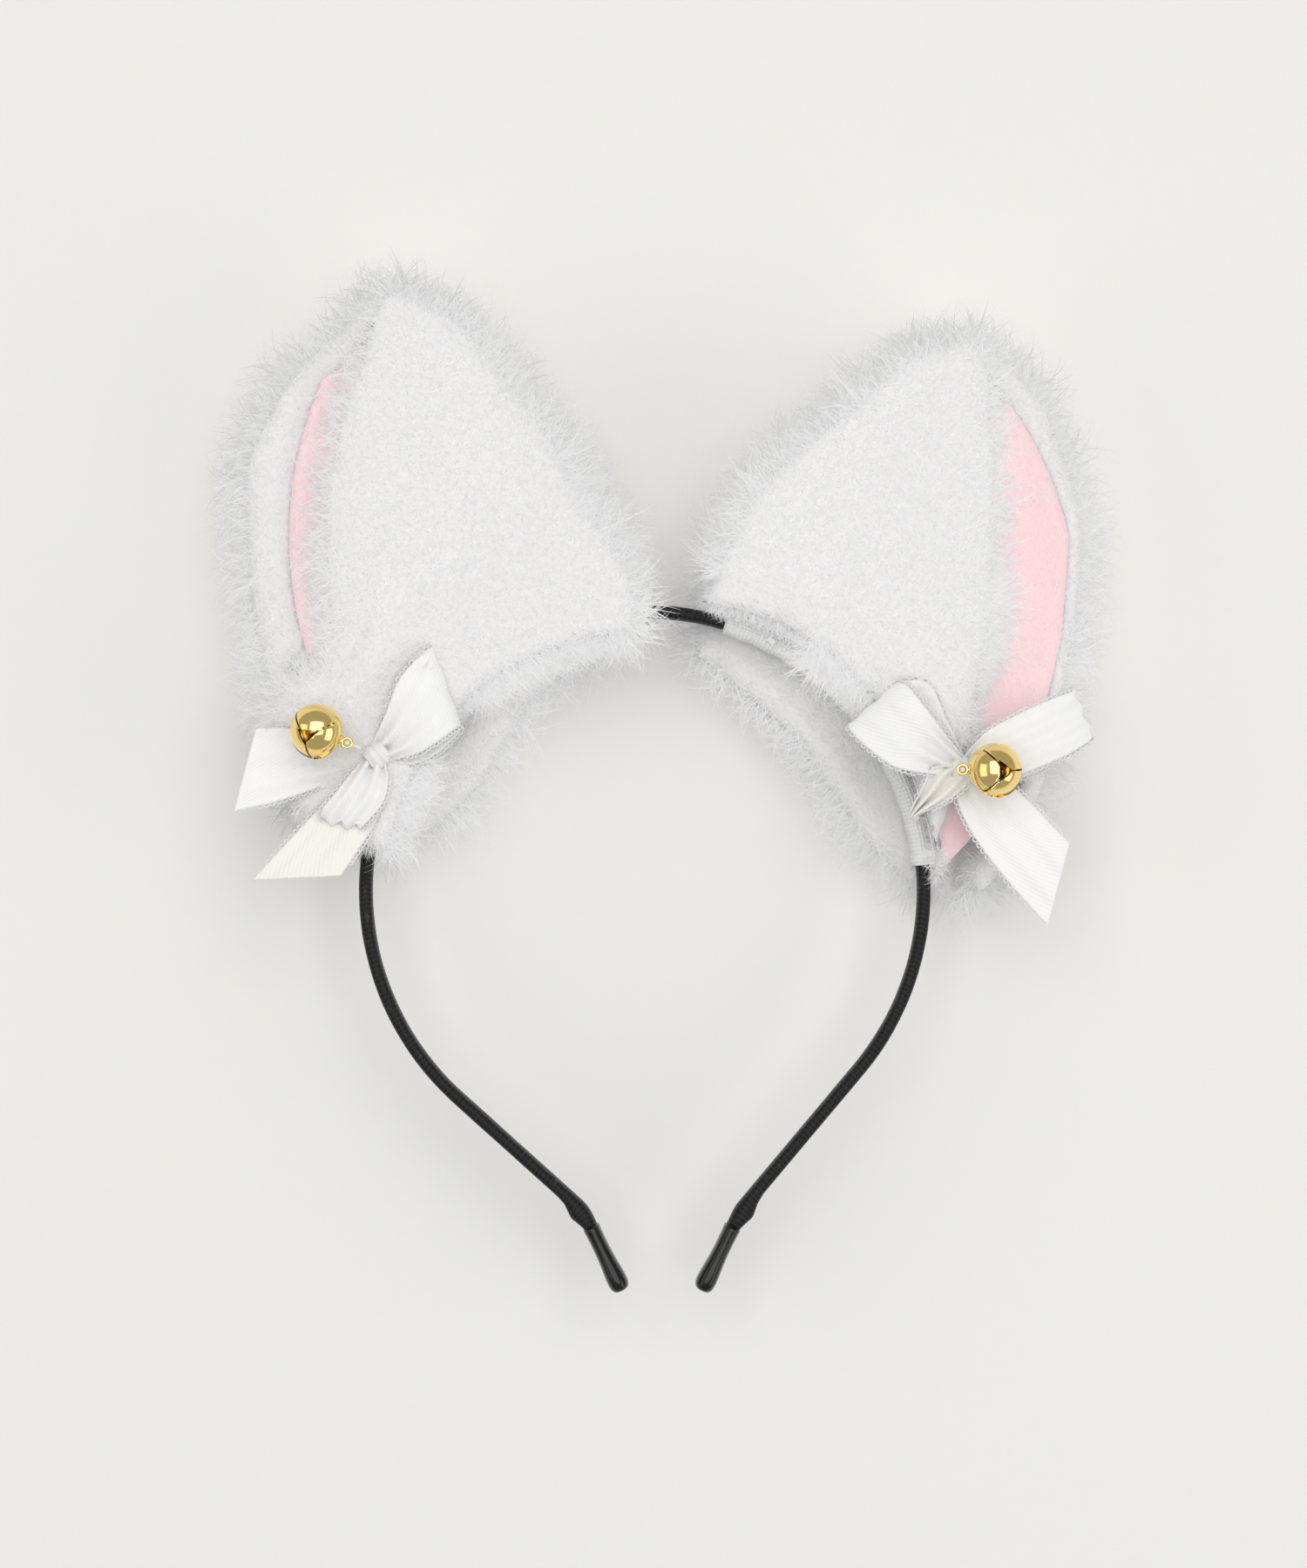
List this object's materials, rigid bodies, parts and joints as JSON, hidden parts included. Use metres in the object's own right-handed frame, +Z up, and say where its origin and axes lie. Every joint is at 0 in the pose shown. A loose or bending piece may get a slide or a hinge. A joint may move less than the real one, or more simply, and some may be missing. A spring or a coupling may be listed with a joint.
{
  "type": "animal ears headband",
  "caption": "Sprung black headband with plush animal ears on elastic casings, pink velvet linings, ribbon bows and jingle bells.",
  "frame": {"origin": "inner face of the band at the crown, on its middle plane, where it rests on the head", "axes": "as worn upright: +X to the wearer's left, +Y to the back of the head, +Z up"},
  "size_m": [0.1933, 0.0495, 0.2298],
  "materials": {
    "spring_strip": "cold-rolled steel strip",
    "cover_tape": "black ribbed satin tape, wound and glued",
    "cap_rubber": "glossy dipped rubber",
    "casing_knit": "white knitted elastic",
    "plush_fur": "long white pile",
    "lining_velvet": "pink short-pile velvet",
    "stay_boning": "flat plastic boning",
    "sewing_thread": "white twisted thread",
    "bow_ribbon": "white satin ribbon with picot edges",
    "bell_metal": "polished gold plate",
    "pellet_steel": "plain steel shot"
  },
  "bodies": {
    "crown": {"crown_core": "spring_strip", "crown_cover": "cover_tape"},
    "left_arm": {"left_arm_core": "spring_strip", "left_arm_cover": "cover_tape", "left_cover_tuck": "cover_tape", "left_end_cap": "cap_rubber"},
    "left_casing": {"left_casing": "casing_knit"},
    "left_ear": {"left_bow_knot": "bow_ribbon", "left_bow_loop_lower": "bow_ribbon", "left_bow_loop_upper": "bow_ribbon", "left_bow_tail_lower": "bow_ribbon", "left_bow_tail_side": "bow_ribbon", "left_ear_back": "plush_fur", "left_ear_front": "plush_fur", "left_ear_lining": "lining_velvet", "left_ear_stay": "stay_boning", "left_ear_tacks": "sewing_thread", "left_bell_thread": "sewing_thread"},
    "left_bell": {"left_bell_shell": "bell_metal", "left_bell_shank": "bell_metal"},
    "left_pellet": {"left_bell_pellet": "pellet_steel"},
    "right_arm": {"right_arm_core": "spring_strip", "right_arm_cover": "cover_tape", "right_cover_tuck": "cover_tape", "right_end_cap": "cap_rubber"},
    "right_casing": {"right_casing": "casing_knit"},
    "right_ear": {"right_bow_knot": "bow_ribbon", "right_bow_loop_side": "bow_ribbon", "right_bow_loop_upper": "bow_ribbon", "right_bow_tail_lower": "bow_ribbon", "right_bow_tail_side": "bow_ribbon", "right_ear_back": "plush_fur", "right_ear_front": "plush_fur", "right_ear_lining": "lining_velvet", "right_ear_stay": "stay_boning", "right_ear_tacks": "sewing_thread", "right_bell_thread": "sewing_thread"},
    "right_bell": {"right_bell_shell": "bell_metal", "right_bell_shank": "bell_metal"},
    "right_pellet": {"right_bell_pellet": "pellet_steel"}
  },
  "joints": [
    {"name": "left_spread", "type": "hinge", "parent": "crown", "child": "left_arm", "pos_m": [-0.00458, 0, 0.00294], "axis": [0, 1, 0], "range_deg": [0, 8], "stiffness_Nm_per_rad": 3.4},
    {"name": "left_ear_slide", "type": "hinge", "parent": "left_arm", "child": "left_casing", "pos_m": [0, 0, -0.06245], "axis": [0, -1, 0], "range_deg": [-1.5, 10]},
    {"name": "left_ear_tilt", "type": "hinge", "parent": "left_casing", "child": "left_ear", "pos_m": [-0.03895, 0, -0.01919], "axis": [0.7431, 0, 0.6691], "range_deg": [-8, 8]},
    {"name": "left_bell_swing", "type": "hinge", "parent": "left_ear", "child": "left_bell", "pos_m": [-0.06638, -0.028, -0.02881], "axis": [0, -1, 0], "range_deg": [-30, 125]},
    {"name": "left_pellet_roll", "type": "slide", "parent": "left_bell", "child": "left_pellet", "axis": [0, 0, 1], "range_m": [0, 0.0058]},
    {"name": "right_spread", "type": "hinge", "parent": "crown", "child": "right_arm", "pos_m": [0.00458, 0, 0.00294], "axis": [0, -1, 0], "range_deg": [0, 8], "stiffness_Nm_per_rad": 3.4},
    {"name": "right_ear_slide", "type": "hinge", "parent": "right_arm", "child": "right_casing", "pos_m": [0, 0, -0.06245], "axis": [0, 1, 0], "range_deg": [-1.5, 10]},
    {"name": "right_ear_tilt", "type": "hinge", "parent": "right_casing", "child": "right_ear", "pos_m": [0.04529, 0, -0.02538], "axis": [0.6334, 0, -0.7738], "range_deg": [-8, 8]},
    {"name": "right_bell_swing", "type": "hinge", "parent": "right_ear", "child": "right_bell", "pos_m": [0.07094, -0.028, -0.03479], "axis": [0, 1, 0], "range_deg": [-30, 100]},
    {"name": "right_pellet_roll", "type": "slide", "parent": "right_bell", "child": "right_pellet", "axis": [0, 0, 1], "range_m": [0, 0.0058]}
  ],
  "couplings": [
    {"joint": "right_spread", "follows": "left_spread", "ratio": 1}
  ]
}
